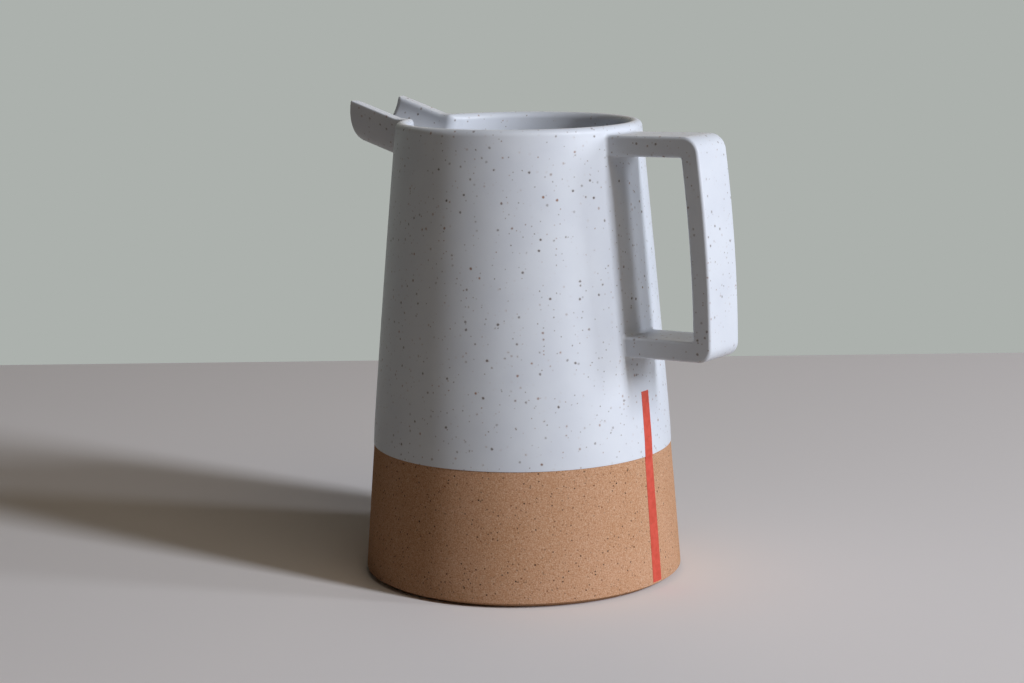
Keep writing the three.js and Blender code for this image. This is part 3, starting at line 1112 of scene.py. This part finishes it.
camera.rotation_quaternion = (turn @ Matrix.Rotation(CAMERA_ROLL, 3, "Z")).to_quaternion()
camera_side = Vector((math.sin(CAMERA_AZIMUTH), -math.cos(CAMERA_AZIMUTH), 0))
camera.location = camera_side * CAMERA_DISTANCE + Vector((0, 0, CAMERA_HEIGHT))
print("camera lens:", round(camera_data.lens, 1), "mm")

# %% [markdown]
# The stage is a plain pale floor with a pale world behind it, which the camera and the gloss of the glaze
# see. The world itself gives hardly any light. Light that bounces off the floor sees a darker tone of it, so
# that the shaded side of the pot stays dark.

# %% Floor and world
FLOOR_COLOUR = "#f2edea"
FLOOR_BOUNCE = "#bab2a9"
BACK_COLOUR = "#acb1ad"
FILL_COLOUR = "#ffe9d2"
FILL_STRENGTH = 0.005
FLOOR_BACK = 510 * MM
FLOOR_SIZE = 4000 * MM
FLOOR_ROUGHNESS = 0.9


def seen(node):
    """1 where a ray comes from the camera, a gloss or a glass, and 0 where it carries light."""
    rays = node("LightPath", {}).outputs
    glint = node("Math", {0: rays["Is Glossy Ray"], 1: rays["Is Transmission Ray"]}, operation="MAXIMUM")
    return node("Math", {0: rays["Is Camera Ray"], 1: glint}, operation="MAXIMUM")


floor_material, floor_shader, node, _ = new_material("pale_floor")
tone = blend(node, seen(node), colour(FLOOR_BOUNCE), colour(FLOOR_COLOUR))
set_inputs(floor_shader, {"Base Color": tone, "Roughness": FLOOR_ROUGHNESS})
bpy.ops.object.select_all(action="DESELECT")
floor_middle = camera_side * (FLOOR_SIZE / 2 - FLOOR_BACK)
bpy.ops.mesh.primitive_plane_add(size=FLOOR_SIZE, location=floor_middle, rotation=(0, 0, CAMERA_AZIMUTH))
floor = bpy.context.object
floor.name = "pale_floor"
floor.data.materials.append(floor_material)

world = bpy.data.worlds.new("pale_world")
scene.world = world
world.use_nodes = True
sky = world.node_tree
fill = sky.nodes["Background"]
set_inputs(fill, {"Color": colour(FILL_COLOUR), "Strength": FILL_STRENGTH})
shown = add(sky, "Background", {"Color": colour(BACK_COLOUR), "Strength": 1.0})
either = add(sky, "MixShader", {0: seen(functools.partial(add, sky)), 1: fill, 2: shown})
set_inputs(sky.nodes["World Output"], {"Surface": either})
print("the world gives", FILL_STRENGTH, "of light and shows", BACK_COLOUR)

# %% [markdown]
# A tall narrow light stands to the right, as a window would, with a shorter one further round. Both are cool.
# A broad weak one hangs above the camera and another stands behind the pot, and both are warm, as light that
# comes back from a room.

# %% Lights
LIGHT_DISTANCE = 3000 * MM
WINDOW_TINT = "#edf3ff"
ROOM_TINT = "#ffecd4"
BACK_TINT = "#ffe6c8"
TALL = (350 * MM, 1300 * MM)
SHORT = (350 * MM, 900 * MM)
BROAD = (1600 * MM, 1600 * MM)


def area_light(name, side, rise, size, watts, tint):
    """A soft light aimed at the pot, with its angles right of the camera and above level in degrees."""
    data = bpy.data.lights.new(name, "AREA")
    data.shape = "RECTANGLE"
    data.size, data.size_y = size
    data.energy = watts
    data.color = colour(tint)[:3]
    lamp = bpy.data.objects.new(name, data)
    scene.collection.objects.link(lamp)
    level = Matrix.Rotation(math.radians(side), 3, "Z") @ camera_side
    towards = level * math.cos(math.radians(rise)) + Vector((0, 0, math.sin(math.radians(rise))))
    lamp.location = Vector((0, 0, RIM_HEIGHT / 2)) + towards * LIGHT_DISTANCE
    lamp.rotation_mode = "QUATERNION"
    lamp.rotation_quaternion = (-towards).to_track_quat("-Z", "Y")
    return lamp


lamps = [
    area_light("window_light", side=55.5, rise=27, size=TALL, watts=66, tint=WINDOW_TINT),
    area_light("right_light", side=74.5, rise=14, size=SHORT, watts=24, tint=WINDOW_TINT),
    area_light("front_light", side=30, rise=50, size=BROAD, watts=10.5, tint=ROOM_TINT),
    area_light("back_light", side=180, rise=30, size=BROAD, watts=5, tint=BACK_TINT),
]
print("lamps in watts:", {lamp.name: lamp.data.energy for lamp in lamps})
